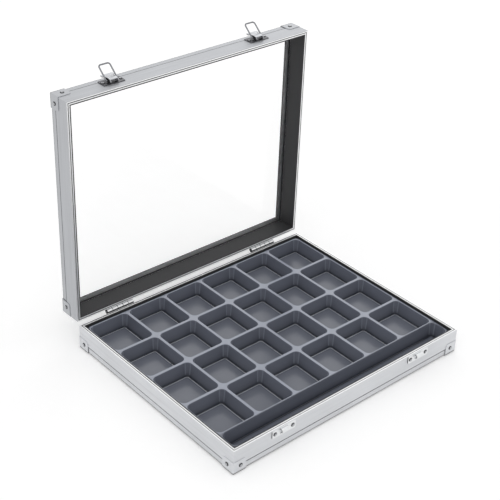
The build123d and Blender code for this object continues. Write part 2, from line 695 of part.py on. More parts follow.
print(f"a bail swings {BAIL_SWING:.3f} degrees from rest to latched")
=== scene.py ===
import json
from math import cos, pi, radians, sin, tan

import bmesh
import bpy
from bpy.props import FloatProperty, FloatVectorProperty, IntProperty, PointerProperty
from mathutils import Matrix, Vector

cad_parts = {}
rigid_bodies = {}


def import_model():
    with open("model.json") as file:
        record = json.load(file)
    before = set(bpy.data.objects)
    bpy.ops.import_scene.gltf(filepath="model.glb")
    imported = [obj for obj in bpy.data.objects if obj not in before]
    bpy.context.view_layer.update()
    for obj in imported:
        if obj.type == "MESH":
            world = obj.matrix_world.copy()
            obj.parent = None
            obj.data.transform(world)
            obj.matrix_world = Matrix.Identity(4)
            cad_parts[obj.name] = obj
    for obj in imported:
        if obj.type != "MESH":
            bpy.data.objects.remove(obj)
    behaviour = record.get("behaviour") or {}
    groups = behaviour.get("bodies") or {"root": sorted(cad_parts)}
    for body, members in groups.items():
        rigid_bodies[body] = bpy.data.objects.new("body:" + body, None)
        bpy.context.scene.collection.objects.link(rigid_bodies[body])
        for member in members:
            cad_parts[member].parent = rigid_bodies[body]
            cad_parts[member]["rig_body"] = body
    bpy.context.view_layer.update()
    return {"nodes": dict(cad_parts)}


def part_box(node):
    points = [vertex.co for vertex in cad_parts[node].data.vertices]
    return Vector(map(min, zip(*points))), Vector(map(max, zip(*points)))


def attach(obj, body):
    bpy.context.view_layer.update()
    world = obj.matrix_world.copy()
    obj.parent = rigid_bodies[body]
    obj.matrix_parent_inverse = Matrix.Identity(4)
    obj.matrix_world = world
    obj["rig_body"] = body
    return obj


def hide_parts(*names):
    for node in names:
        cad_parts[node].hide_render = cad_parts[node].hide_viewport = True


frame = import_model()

bl_info = {
    "name": "Mineral Specimen Box",
    "version": (1, 0, 0),
    "blender": (4, 5, 0),
    "location": "View3D > Sidebar > Specimen Box",
    "description": "Dresses the packed frame of a hinged specimen box with its finished pieces",
    "category": "Object",
}

MM = 0.001
SIDES = ("front", "back", "left", "right")
HANDS = ("left", "right")
CORNERS = [f"{end}_{flank}" for end in ("front", "back") for flank in HANDS]
RIMS = {"base": Vector((0, 0, 1)), "lid": Vector((0, -1, 0))}  # the way each half's rim faces
WELD = 0.001 * MM  # closes the seams of a CAD mesh
GROWN_WELD = 0.002 * MM  # closes the seams of a grown mesh
METAL_BEND = radians(32)  # edges that turn by more than this stay sharp on metal
SHEET_BEND = radians(40)  # and on the tray
ROUND_BEND = radians(50)  # and on rivets and wire


# ------------------------------------------------------------------ settings
class TraySettings(bpy.types.PropertyGroup):
    """Sizes and colour of the moulded tray."""

    columns: IntProperty(name="Columns", description="Pockets side by side", default=6, min=1)
    rows: IntProperty(name="Rows", description="Pockets front to back", default=4, min=1)
    edge: FloatProperty(
        name="Edge", description="From the tray's side to the first pocket",
        default=2.5 * MM, unit="LENGTH",
    )
    rib: FloatProperty(
        name="Rib", description="Top of the rib between two pockets",
        default=3.5 * MM, unit="LENGTH",
    )
    trough_rib: FloatProperty(
        name="Trough rib", description="Top of the rib behind the trough",
        default=2.0 * MM, unit="LENGTH",
    )
    trough: FloatProperty(
        name="Trough", description="The front trough from front to back",
        default=23.5 * MM, unit="LENGTH",
    )
    depth: FloatProperty(
        name="Depth", description="Depth of a pocket", default=18 * MM, unit="LENGTH",
    )
    corner: FloatProperty(
        name="Corner radius", description="Radius of a pocket's upright corners",
        default=6.5 * MM, unit="LENGTH",
    )
    lip: FloatProperty(
        name="Lip radius", description="Rounding where a pocket turns down from the top",
        default=0.6 * MM, unit="LENGTH",
    )
    floor: FloatProperty(
        name="Floor radius", description="Rounding between a pocket's wall and its floor",
        default=0.6 * MM, unit="LENGTH",
    )
    moat: FloatProperty(
        name="Moat", description="Width of the low channel round a pocket's floor",
        default=1.4 * MM, unit="LENGTH",
    )
    step: FloatProperty(
        name="Step", description="Height of a pocket's floor over its moat",
        default=1.0 * MM, unit="LENGTH",
    )
    draft: FloatProperty(
        name="Draft", description="How far the pocket walls lean out",
        default=radians(5), unit="ROTATION",
    )
    wall: FloatProperty(
        name="Wall", description="Thickness of the moulded sheet", default=1.0 * MM, unit="LENGTH",
    )
    outer_corner: FloatProperty(
        name="Outer corner", description="Radius of the tray's own corners",
        default=4 * MM, unit="LENGTH",
    )
    colour: FloatVectorProperty(
        name="Plastic", description="Colour of the tray's plastic", subtype="COLOR",
        default=(0.150, 0.162, 0.200), min=0, max=1,
    )
    # painted highlight: the ribs' tops and the lips take this colour, and it is mixed faintly into
    # the cups' corners
    painted_highlight_colour: FloatVectorProperty(
        name="Rib tops", description="Colour of the ribs' tops",
        subtype="COLOR", default=(0.33, 0.355, 0.42), min=0, max=1,
    )
    # painted highlight along the thin edge round each pocket's floor
    floor_edge_painted_highlight: FloatVectorProperty(
        name="Floor edges", description="Colour of the thin edge round a pocket's floor",
        subtype="COLOR", default=(0.95, 0.97, 1.0), min=0, max=1,
    )
    # painted shade: in the channels round the floors, down the skirt and, blended, low on the walls
    # and on the floors
    painted_shade_colour: FloatVectorProperty(
        name="Deep", description="Colour in the channels round the floors", subtype="COLOR",
        default=(0.018, 0.021, 0.030), min=0, max=1,
    )


class MetalSettings(bpy.types.PropertyGroup):
    """Colours of the metal, and how far its edges are broken."""

    # painted light and shade: one alloy, given as a lighter copy on the base's faces and a darker
    # copy on the lid's, after how the light fell on each half
    face: FloatVectorProperty(
        name="Base rail face", description="Satin anodised outer faces of the base",
        subtype="COLOR", default=(0.69, 0.70, 0.72), min=0, max=1,
    )
    lid_face_painted_shade: FloatVectorProperty(
        name="Lid rail face", description="Satin anodised outer faces of the lid", subtype="COLOR",
        default=(0.50, 0.51, 0.53), min=0, max=1,
    )
    # painted highlight: the colour of every rail face turned the rim's way
    rim: FloatVectorProperty(
        name="Rail rim", description="Bright rim of the extrusion", subtype="COLOR",
        default=(0.95, 0.955, 0.96), min=0, max=1,
    )
    fitting: FloatVectorProperty(
        name="Fittings", description="Nickel plated levers and rivets", subtype="COLOR",
        default=(0.52, 0.53, 0.55), min=0, max=1,
    )
    plate: FloatVectorProperty(
        name="Plates", description="Bright plated catches and hinge leaves", subtype="COLOR",
        default=(0.80, 0.81, 0.82), min=0, max=1,
    )
    # painted shade: the pins and the latches' plates are given this dark steel
    painted_shade_dull: FloatVectorProperty(
        name="Dull steel", description="Steel of the pins and of the latches' plates",
        subtype="COLOR", default=(0.14, 0.14, 0.15), min=0, max=1,
    )
    wire: FloatVectorProperty(
        name="Wire", description="Bright drawn wire of the latches' loops", subtype="COLOR",
        default=(0.24, 0.245, 0.26), min=0, max=1,
    )
    edge: FloatProperty(
        name="Broken edge", description="Rounding of the metal's edges",
        default=0.15 * MM, unit="LENGTH",
    )


class RivetSettings(bpy.types.PropertyGroup):
    """Sizes of a rivet's head."""

    radius: FloatProperty(
        name="Head radius", description="Radius of the head", default=2.45 * MM, unit="LENGTH",
    )
    height: FloatProperty(
        name="Head height", description="Height of the head", default=0.7 * MM, unit="LENGTH",
    )
    dimple: FloatProperty(
        name="Dimple", description="Depth of the dimple in the middle",
        default=0.3 * MM, unit="LENGTH",
    )


class StageSettings(bpy.types.PropertyGroup):
    """The camera, the floor and the lamps."""

    eye: FloatVectorProperty(
        name="Camera", description="Where the camera stands", subtype="TRANSLATION",
        default=(-0.77159, -0.81792, 0.83530),
    )
    turn: FloatVectorProperty(
        name="Camera turn", description="How the camera is turned", subtype="EULER",
        default=(radians(58.130), radians(-1.975), radians(-40.750)),
    )
    lens: FloatProperty(
        name="Lens", description="Focal length on a 36 mm sensor, in millimetres", default=84.62,
    )
    floor: FloatVectorProperty(
        name="Floor", description="Colour of the floor", subtype="COLOR",
        default=(0.93, 0.93, 0.93), min=0, max=1,
    )
    lift: FloatProperty(
        name="Lift", description="White that the floor adds where it is seen", default=0.22, min=0,
    )
    sky: FloatProperty(name="Sky", description="Strength of the even light all round", default=0.78)
    key: FloatProperty(name="Key lamp", description="Power of the large lamp", default=10.0)
    back: FloatProperty(name="Back lamp", description="Power of the lamp behind", default=1.5)


class BoxSettings(bpy.types.PropertyGroup):
    """Everything that a user would change on the box."""

    tray: PointerProperty(type=TraySettings)
    metal: PointerProperty(type=MetalSettings)
    rivet: PointerProperty(type=RivetSettings)
    stage: PointerProperty(type=StageSettings)


# ------------------------------------------------------------------ materials
class Nodes:
    """A node tree in the making."""

    def __init__(self, tree):
        self.tree = tree

    def add(self, kind, wires=None, **settings):
        """A node with its settings, and with values or links on its sockets."""
        node = self.tree.nodes.new(kind)
        for key, value in settings.items():
            setattr(node, key, value)
        for socket, value in (wires or {}).items():
            self.wire(node, socket, value)
        return node

    def wire(self, node, socket, value):
        """Links a socket to another, or sets its value."""
        if isinstance(value, bpy.types.NodeSocket):
            self.tree.links.new(value, node.inputs[socket])
        else:
            node.inputs[socket].default_value = value

    def math(self, operation, first, second=0.0):
        return self.add("ShaderNodeMath", {0: first, 1: second}, operation=operation).outputs[0]


class Finish(Nodes):
    """A node material in the making."""

    BAND_EASE = 0.05 * MM  # how softly a painted band ends
    METAL_SPECULAR = 0.1
    DULL_ROUGHNESS = 0.8

    def __init__(self, name, **sockets):
        self.material = bpy.data.materials.new(name)
        self.material.use_nodes = True
        super().__init__(self.material.node_tree)
        self.shader = self.tree.nodes["Principled BSDF"]
        self.place = self.add("ShaderNodeTexCoord")
        for socket, value in sockets.items():
            self.shader.inputs[socket.replace("_", " ")].default_value = value

    def noise(self, scale, stretch=(1, 1, 1), detail=3.0):
        """A noise pattern on the piece itself, drawn out along its axes if asked."""
        mapped = self.add(
            "ShaderNodeMapping", {"Vector": self.place.outputs["Object"], "Scale": stretch}
        )
        texture = self.add(
            "ShaderNodeTexNoise",
            {"Vector": mapped.outputs["Vector"], "Scale": scale, "Detail": detail},
        )
        return texture.outputs["Fac"]

    def between(self, factor, low, high, start=0.3, stop=0.7):
        """A factor spread between two numbers."""
        wires = {
            "Value": factor, "From Min": start, "From Max": stop, "To Min": low, "To Max": high,
        }
        return self.add("ShaderNodeMapRange", wires).outputs["Result"]

    def mix(self, factor, first, second):
        """One colour fading into another."""
        node = self.add("ShaderNodeMix", data_type="RGBA")
        for socket, value in ((0, factor), (6, first), (7, second)):
            self.wire(node, socket, value)
        return node.outputs[2]

    def bump(self, height, distance, strength=1.0):
        wires = {"Height": height, "Distance": distance, "Strength": strength}
        node = self.add("ShaderNodeBump", wires)
        self.wire(self.shader, "Normal", node.outputs["Normal"])

    def facing(self, way, start=0.85, stop=0.97):
        """One where the surface faces a way that is fixed to the piece, else nothing."""
        wires = {0: self.place.outputs["Normal"], 1: tuple(way)}
        node = self.add("ShaderNodeVectorMath", wires, operation="DOT_PRODUCT")
        return self.between(node.outputs["Value"], 0.0, 1.0, start, stop)

    def level(self, way):
        """How far the surface lies along a way that is fixed to the piece."""
        wires = {0: self.place.outputs["Object"], 1: tuple(way)}
        return self.add("ShaderNodeVectorMath", wires, operation="DOT_PRODUCT").outputs["Value"]

    def both(self, first, second):
        return self.math("MULTIPLY", first, second)

    def band(self, level, middle, half):
        """One within half a band's width of its middle, else nothing."""
        gap = self.math("ABSOLUTE", self.math("SUBTRACT", level, middle))
        return self.between(gap, 1.0, 0.0, half - self.BAND_EASE, half + self.BAND_EASE)

    def dressed(self, shade, roughness, masks):
        """Metal of a colour, given up to a matt dark, painted shade, where any of the masks is one.
        """
        dark = 0.0
        for mask in masks:
            dark = self.math("MAXIMUM", dark, mask)
        self.set("Specular IOR Level", self.METAL_SPECULAR)
        self.set("Base Color", self.mix(dark, shade, SHADED))
        self.set("Metallic", self.math("SUBTRACT", 1.0, dark))
        painted_shade_dull = self.both(dark, self.DULL_ROUGHNESS)
        self.set("Roughness", self.math("MAXIMUM", roughness, painted_shade_dull))

    def set(self, socket, value):
        self.wire(self.shader, socket, value)


def rgba(colour, share=1.0):
    """A colour made lighter or darker by a share, up to white, for a socket."""
    return (*(min(1, c * share) for c in colour), 1.0)


GROOVE_BELOW_RIM = 21.7 * MM  # the groove along the rails' outer faces
# half the width of the painted shade band over that groove
GROOVE_HALF = 0.7 * MM
RIM_LINE = 2.2 * MM  # the groove along the rim, from the outer face
# half the width of the painted shade band over the rim's groove
RIM_LINE_HALF = 0.55 * MM
# painted shade for all the dark masks on the metal
SHADED = (0.028, 0.028, 0.031, 1)  # metal in its grooves and on its shaded sides


def painted_under_edge_shade(finish, rim):
    """Painted shade on the rounded edge towards a half's closed face, without that face."""
    away = [-c for c in rim]
    # the masks compare cosines: turned towards the face at all, but not flat on it
    beside = finish.facing(away, 0.08, 0.2)
    not_on = finish.between(finish.facing(away, 0.0, 1.0), 1.0, 0.0, 0.88, 0.96)
    return finish.both(beside, not_on)


def drawn_along(run, along, across):
    """How a noise is stretched to give lines that run one way."""
    return [along if abs(way) > 0.5 else across for way in run]


def satin_aluminium(name, colour, bright, run, rim, out, levels):
    """Anodised extrusion, drawn lines along the rail, a painted highlight on the faces turned the
    rim's way, and painted shade in the grooves, on the rounded edge towards the closed face and on
    the inward faces.
    """
    finish = Finish(name)
    lines = finish.noise(6.0, drawn_along(run, along=2.0, across=500.0))
    broad = finish.noise(5.0, drawn_along(run, along=3.0, across=60.0))
    cloud = finish.noise(14.0)
    shade = finish.mix(cloud, rgba(colour, 0.93), rgba(colour, 1.07))
    worn = finish.both(finish.between(broad, 0.0, 1.0), finish.between(lines, 0.0, 0.5))
    shade = finish.mix(worn, shade, rgba(colour, 0.78))
    # painted highlight: every face turned the rim's way takes the bright rim colour
    shade = finish.mix(finish.facing(rim), shade, rgba(bright))
    # painted shade in a band a little wider than the outer groove, and fainter in the rim's groove
    groove = finish.band(finish.level(rim), levels[1] - GROOVE_BELOW_RIM, GROOVE_HALF)
    line = finish.band(finish.level(out), levels[0] - RIM_LINE, RIM_LINE_HALF)
    line = finish.both(finish.both(line, finish.facing(rim)), 0.85)
    # painted shade also on the rounded edge towards the closed face and on every inward face
    masks = [groove, line, painted_under_edge_shade(finish, rim), finish.facing([-c for c in out])]
    finish.dressed(shade, finish.between(lines, 0.44, 0.58), masks)
    finish.bump(lines, distance=0.01 * MM, strength=0.4)
    return finish.material


def plated_steel(name, colour, roughness=0.22, dark=lambda finish: []):
    """Nickel plate with a faint unevenness, and painted shade wherever the given masks say."""
    finish = Finish(name)
    cloud = finish.noise(260.0)
    shade = finish.mix(cloud, rgba(colour, 0.9), rgba(colour, 1.08))
    finish.dressed(shade, finish.between(cloud, roughness, roughness + 0.14), dark(finish))
    finish.bump(finish.noise(900.0), distance=0.02 * MM, strength=0.4)
    return finish.material


def rivet_steel(colour):
    """Plated rivet, with painted shade round its foot and, fainter, in its dimple."""
    finish = Finish("rivet_metal")
    tone = finish.add("ShaderNodeAttribute", attribute_name="tone").outputs["Fac"]
    cloud = finish.noise(900.0)
    bright = finish.mix(cloud, rgba(colour, 0.9), rgba(colour, 1.1))
    finish.dressed(bright, finish.between(cloud, 0.25, 0.35), [finish.between(tone, 1, 0, 0, 1)])
    return finish.material


def dark_liner():
    """Matt charcoal strip with a fine grain."""
    finish = Finish("charcoal_liner", IOR=1.45)
    grain = finish.noise(1400.0)
    finish.set("Base Color", finish.mix(grain, (0.019, 0.019, 0.021, 1), (0.038, 0.038, 0.040, 1)))
    finish.set("Roughness", finish.between(grain, 0.55, 0.75))
    finish.bump(grain, distance=0.05 * MM, strength=0.5)
    return finish.material


def dark_board():
    """Covered fibreboard."""
    finish = Finish("covered_board", IOR=1.45)
    grain = finish.noise(900.0, detail=6.0)
    finish.set("Base Color", finish.mix(grain, (0.022, 0.022, 0.024, 1), (0.045, 0.045, 0.048, 1)))
    finish.set("Roughness", finish.between(grain, 0.5, 0.8))
    finish.bump(grain, distance=0.08 * MM, strength=0.6)
    return finish.material


def tray_plastic(tray):
    """Smooth moulded plastic, with painted highlights on the ribs' tops, the floors' edges and the
    cups' corners, and painted shade in the channels, on the skirt, low on the walls and on the
    floors.
    """
    finish = Finish("moulded_plastic", IOR=1.55)
    cloud = finish.noise(14.0, detail=4.0)
    fine = finish.noise(700.0)
    plain = finish.mix(cloud, rgba(tray.colour, 0.88), rgba(tray.colour, 1.12))
    tone = finish.add("ShaderNodeAttribute", attribute_name="tone").outputs["Fac"]
    shade = finish.mix(finish.between(tone, 0, 1, 0.0, 0.5), rgba(tray.painted_shade_colour), plain)
    shade = finish.mix(finish.between(tone, 0, 1, 0.5, 1.0), shade, rgba(tray.painted_highlight_colour))
    shade = finish.mix(finish.between(tone, 0, 1, 1.0, 2.0), shade, rgba(tray.floor_edge_painted_highlight))
    bend = finish.add("ShaderNodeAttribute", attribute_name="bend").outputs["Fac"]
    # a faint painted highlight streak in the cups' corners, only on the tones that the walls have
    past, before = finish.between(bend, 0, 1, 0.2, 0.5), finish.between(bend, 1, 0, 0.6, 0.85)
    streak = finish.both(past, before)
    above, below = finish.between(tone, 0, 1, 0.2, 0.35), finish.between(tone, 1, 0, 0.5, 0.7)
    wall = finish.both(above, below)
    glint = finish.both(finish.both(streak, wall), 0.4)
    finish.set("Base Color", finish.mix(glint, shade, rgba(tray.painted_highlight_colour)))
    finish.set("Roughness", finish.between(fine, 0.20, 0.26))
    finish.bump(fine, distance=0.004 * MM, strength=0.5)
    return finish.material


def clear_pane():
    """Clear pane that lets light straight through and shines more at a slant."""
    finish = Finish("clear_pane", IOR=1.02, Transmission_Weight=1.0, Coat_Weight=1.0)
    finish.set("Base Color", finish.between(finish.noise(30.0), 0.99, 1.0))
    finish.set("Coat Roughness", 0.02)
    finish.set("Roughness", 0.0)
    slant = finish.add("ShaderNodeFresnel", {"IOR": 1.45}).outputs[0]
    finish.set("Alpha", finish.between(slant, 0.12, 0.5, 0.0, 1.0))
    return finish.material


# ------------------------------------------------------------------ meshes
def linked(name, data):
    """A new object in the scene."""
    made = bpy.data.objects.new(name, data)
    bpy.context.scene.collection.objects.link(made)
    return made


def new_piece(mesh, name, material, body, slot, *nodes):
    """A finished piece that rides on its body and stands for its CAD nodes."""
    piece = linked(name, mesh)
    if material and not mesh.materials:
        mesh.materials.append(material)
    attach(piece, body)
    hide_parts(*nodes)
    return piece


def body_of(node):
    return frame["nodes"][node]["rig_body"]


def plain_mesh(holder):
    """What the object's modifiers make of it, as a mesh of its own."""
    depsgraph = bpy.context.evaluated_depsgraph_get()
    mesh = bpy.data.meshes.new_from_object(holder.evaluated_get(depsgraph), depsgraph=depsgraph)
    holder.modifiers.clear()
    old = holder.data
    bpy.data.objects.remove(holder)
    bpy.data.meshes.remove(old)
    return mesh


def copied(node):
    """A copy of a CAD node's mesh, without its material."""
    mesh = frame["nodes"][node].data.copy()
    mesh.materials.clear()
    return mesh


def opened(mesh):
    """A mesh opened for work."""
    bm = bmesh.new()
    bm.from_mesh(mesh)
    return bm


def welded(mesh):
    """A mesh opened for work and with its seams closed."""
    bm = opened(mesh)
    bmesh.ops.remove_doubles(bm, verts=bm.verts, dist=WELD)
    return bm


def poured(bm, mesh):
    """Puts the worked form back into a mesh."""
    bm.to_mesh(mesh)
    bm.free()
    return mesh


def smooth(mesh, angle):
    """Smooth shading, but for the edges that turn by more than an angle."""
    mesh.polygons.foreach_set("use_smooth", [True] * len(mesh.polygons))
    mesh.set_sharp_from_angle(angle=angle)


def weigh_normals(holder):
    """Keeps broad faces flat, so that only the narrow ones beside them turn the light."""
    weighted = holder.modifiers.new("normals", "WEIGHTED_NORMAL")
    weighted.mode = "FACE_AREA"
    weighted.keep_sharp = True


FLAT = radians(0.8)  # faces that turn by less than this are one face
BROKEN_FROM = radians(35)  # edges that turn by more than this are broken


def softened(node, width):
    """A copy of a CAD node's mesh, welded and with its edges broken."""
    mesh = copied(node)
    bm = welded(mesh)
    bmesh.ops.dissolve_limit(bm, angle_limit=FLAT, verts=bm.verts, edges=bm.edges)
    smooth(poured(bm, mesh), METAL_BEND)
    holder = linked("holder", mesh)
    bevel = holder.modifiers.new("edges", "BEVEL")
    bevel.width = width
    bevel.segments = 2
    bevel.limit_method = "ANGLE"
    bevel.angle_limit = BROKEN_FROM
    bevel.use_clamp_overlap = True
    weigh_normals(holder)
    return plain_mesh(holder)


# ------------------------------------------------------------------ geometry nodes
class Growth(Nodes):
    """A geometry node tree in the making, with named inputs."""

    KINDS = {
        "length": "NodeSocketFloat", "count": "NodeSocketInt",
        "vector": "NodeSocketVector", "material": "NodeSocketMaterial",
        "geometry": "NodeSocketGeometry",
    }

    def __init__(self, name, inputs):
        super().__init__(bpy.data.node_groups.new(name, "GeometryNodeTree"))
        face = self.tree.interface
        face.new_socket(name="Geometry", in_out="OUTPUT", socket_type="NodeSocketGeometry")
        self.keys = {}
        for label, kind in [("Geometry", "geometry")] + list(inputs.items()):
            socket = face.new_socket(name=label, in_out="INPUT", socket_type=self.KINDS[kind])
            self.keys[label] = socket.identifier
        self.inputs = self.add("NodeGroupInput").outputs

    def finish(self, geometry):
        """Welds the result, gives it its material and ends the tree."""
        real = self.add("GeometryNodeRealizeInstances", {"Geometry": geometry})
        weld = {"Geometry": real.outputs[0], "Distance": GROWN_WELD}
        whole = self.add("GeometryNodeMergeByDistance", weld)
        coat = {"Geometry": whole.outputs[0], "Material": self.inputs["Material"]}
        dressed = self.add("GeometryNodeSetMaterial", coat)
        self.add("NodeGroupOutput", {0: dressed.outputs[0]})

    def grow(self, source, values):
        """Runs the tree on a source mesh and hands back the plain result."""
        holder = linked("holder", source)
        modifier = holder.modifiers.new("grow", "NODES")
        modifier.node_group = self.tree
        for label, value in values.items():
            modifier[self.keys[label]] = value
        return plain_mesh(holder)


def toned_mesh(points, edges=()):
    """Points with a tone each. In a profile x runs outwards, y is the scale and z is up."""
    mesh = bpy.data.meshes.new("profile")
    mesh.from_pydata([point[:3] for point in points], edges, [])
    tones = mesh.attributes.new("tone", "FLOAT", "POINT")
    tones.data.foreach_set("value", [point[3] for point in points])
    return mesh


def line_mesh(points):
    """A profile as a chain of edges."""
    return toned_mesh(points, [(i, i + 1) for i in range(len(points) - 1)])


def swept_ring(tree, rows):
    """The profile and its tone taken round a rectangle with rounded corners."""
    across = tree.math("ADD", tree.inputs["Stops"], 1)
    sheet = {"Size X": 1.0, "Size Y": 1.0, "Vertices X": across, "Vertices Y": rows}
    grid = tree.add("GeometryNodeMeshGrid", sheet)
    index = tree.add("GeometryNodeInputIndex").outputs[0]
    row = tree.math("MODULO", index, rows)
    column = tree.math("FLOOR", tree.math("DIVIDE", index, rows))
    spot = tree.add("GeometryNodeInputPosition").outputs[0]
    named = tree.add("GeometryNodeInputNamedAttribute", {"Name": "tone"}, data_type="FLOAT")
    samples = []
    for value, kind in ((spot, "FLOAT_VECTOR"), (named.outputs[0], "FLOAT")):
        wires = {"Geometry": tree.inputs["Geometry"], "Value": value, "Index": row}
        kinds = {"data_type": kind, "domain": "POINT"}
        samples.append(tree.add("GeometryNodeSampleIndex", wires, **kinds).outputs[0])
    place_on, tone = samples
    profile = tree.add("ShaderNodeSeparateXYZ", {0: place_on}).outputs
    step = tree.math("DIVIDE", 2 * pi, tree.inputs["Stops"])
    angle = tree.math("MULTIPLY", tree.math("ADD", column, 0.5), step)
    grown = tree.math("ADD", tree.inputs["Corner"], profile[0])
    radius = tree.math("MAXIMUM", grown, 0.0)
    past = tree.math("MINIMUM", grown, 0.0)
    reach = []
    for turn, half in (("COSINE", "Half width"), ("SINE", "Half length")):
        way = tree.math(turn, angle)
        straight = tree.math("SUBTRACT", tree.inputs[half], tree.inputs["Corner"])
        straight = tree.math("ADD", straight, past)
        corner = tree.math("MULTIPLY", tree.math("SIGN", way), straight)
        out = tree.math("ADD", corner, tree.math("MULTIPLY", way, radius))
        reach.append(tree.math("MULTIPLY", out, profile[1]))
    place = tree.add("ShaderNodeCombineXYZ", {0: reach[0], 1: reach[1], 2: profile[2]})
    bend = tree.math("ABSOLUTE", tree.math("SINE", tree.math("MULTIPLY", angle, 2.0)))
    ring = grid.outputs[0]
    for name, value in (("tone", tone), ("bend", bend)):
        wires = {"Geometry": ring, "Name": name, "Value": value}
        kind = {"data_type": "FLOAT", "domain": "POINT"}
        ring = tree.add("GeometryNodeStoreNamedAttribute", wires, **kind).outputs[0]
    moved = tree.add("GeometryNodeSetPosition", {"Geometry": ring, "Position": place.outputs[0]})
    return moved.outputs[0]


RING_INPUTS = {
    "Half width": "length", "Half length": "length", "Corner": "length",
    "Stops": "count", "Profile points": "count",
}


def rows_of_cups():
    """A cup repeated in rows and columns."""
    inputs = {
        **RING_INPUTS, "Columns": "count", "Rows": "count",
        "Pitch X": "length", "Pitch Y": "length", "Middle": "vector", "Material": "material",
    }
    tree = Growth("rows_of_cups", inputs)
    cup = swept_ring(tree, tree.inputs["Profile points"])
    spans = []
    for count, pitch in (("Columns", "Pitch X"), ("Rows", "Pitch Y")):
        gaps = tree.math("SUBTRACT", tree.inputs[count], 1)
        spans.append(tree.math("MULTIPLY", gaps, tree.inputs[pitch]))
    spots = tree.add(
        "GeometryNodeMeshGrid",
        {
            "Size X": spans[0], "Size Y": spans[1],
            "Vertices X": tree.inputs["Columns"], "Vertices Y": tree.inputs["Rows"],
        },
    )
    moved = {"Geometry": spots.outputs[0], "Translation": tree.inputs["Middle"]}
    placed = tree.add("GeometryNodeTransform", moved)
    rows = tree.add("GeometryNodeInstanceOnPoints", {"Points": placed.outputs[0], "Instance": cup})
    tree.finish(rows.outputs[0])
    return tree


def heads_on_points():
    """A turned head on every point, facing the way that the point says."""
    inputs = {**RING_INPUTS, "Points from": "count", "Material": "material"}
    tree = Growth("heads_on_points", inputs)
    head = swept_ring(tree, tree.inputs["Profile points"])
    index = tree.add("GeometryNodeInputIndex").outputs[0]
    last_of_profile = tree.math("SUBTRACT", tree.inputs["Points from"], 0.5)
    chosen = tree.math("GREATER_THAN", index, last_of_profile)
    wires = {"Geometry": tree.inputs["Geometry"], "Selection": chosen}
    spots = tree.add("GeometryNodeSeparateGeometry", wires, domain="POINT")
    named = {"Name": "facing"}
    facing = tree.add("GeometryNodeInputNamedAttribute", named, data_type="FLOAT_VECTOR")
    way = {"Vector": facing.outputs[0]}
    turned = tree.add("FunctionNodeAlignRotationToVector", way, axis="Z")
    heads = tree.add(
        "GeometryNodeInstanceOnPoints",
        {"Points": spots.outputs[0], "Instance": head, "Rotation": turned.outputs[0]},
    )
    tree.finish(heads.outputs[0])
    return tree


# ------------------------------------------------------------------ the tray
def arc(centre, radius, start, stop, steps):
    """Points of an arc in the profile's plane, as (x, z)."""
    turns = [radians(start + (stop - start) * i / steps) for i in range(steps + 1)]
    return [(centre[0] + radius * cos(t), centre[1] + radius * sin(t)) for t in turns]


# tones: 0 is the painted shade colour, 0.5 the plastic, 1 the painted highlight of the ribs' tops
# and 2 the painted highlight of the thin floor edge
# painted shade: the floors, the walls towards their foot and the foot itself darker than the plain
# plastic
FLOOR_TONE = 0.30
WALL_TONES = ((0.5, 0.5), (0.78, 0.42), (0.9, 0.3))  # share of the way down, and its tone
FOOT_TONE = 0.12
# painted highlight round the raised floor's edge
EDGE_TONES = (0.1, 1.2, 2.0, 2.0, 1.6)  # round the raised floor's edge
TROUGH_TONE = 0.5  # the lightest in the trough
MOAT_EASE = 0.2 * MM
FLOOR_EDGE = 0.5 * MM  # how far the light edge runs on to the floor
PAST_CORNER = 0.1 * MM  # beyond a corner's radius, where the ring turns square
ON_TOP = 0.01 * MM  # how near the tray's top counts as on it
RING_STOPS = 48


def cup_profile(tray, top, steps=4):
    """From the tray's top over the lip, down the wall, through the moat and on to the floor."""
    low = top - tray.depth - tray.step / 2
    lean = tan(tray.draft) * tray.depth
    foot = -lean - tray.floor
    rise = foot - tray.moat
    lip = arc((tray.lip, top - tray.lip), tray.lip, 90, 180, steps)
    floor = arc((foot, low + tray.floor), tray.floor, 0, -90, steps)
    edge = arc((rise - tray.step, low), tray.step, 0, 90, 4)
    # painted highlight over the lip, the tone of the ribs' tops
    points = [(x, 1, z, 1.0 if i < steps else 0.5) for i, (x, z) in enumerate(lip)]
    for share, tone in WALL_TONES:
        wall = [first + (last - first) * share for first, last in zip(lip[-1], floor[0])]
        points.append((wall[0], 1, wall[1], tone))
    # painted shade at the wall's foot and in the moat
    points += [(x, 1, z, FOOT_TONE) for x, z in floor] + [(rise + MOAT_EASE, 1, low, 0.0)]
    points += [(x, 1, z, tone) for (x, z), tone in zip(edge, EDGE_TONES)]
    height = low + tray.step
    points += [(edge[-1][0] - FLOOR_EDGE, 1, height, FLOOR_TONE)]
    middle = min(-tray.corner, points[-1][0]) - PAST_CORNER
    return points + [(middle, 1, height, FLOOR_TONE), (middle, 0, height, FLOOR_TONE)]


def pocket_layout(tray):
    """Sizes and places of the pockets and the trough, from the tray's box."""
    low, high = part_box("specimen_tray")
    width = high.x - low.x - 2 * tray.edge
    length = high.y - low.y - 2 * tray.edge
    rows = length - tray.trough - tray.trough_rib
    pocket = (
        (width - (tray.columns - 1) * tray.rib) / tray.columns,
        (rows - (tray.rows - 1) * tray.rib) / tray.rows,
    )
    rows_middle = high.y - tray.edge - rows / 2
    trough_middle = low.y + tray.edge + tray.trough / 2
    return low, high, width, pocket, rows_middle, trough_middle


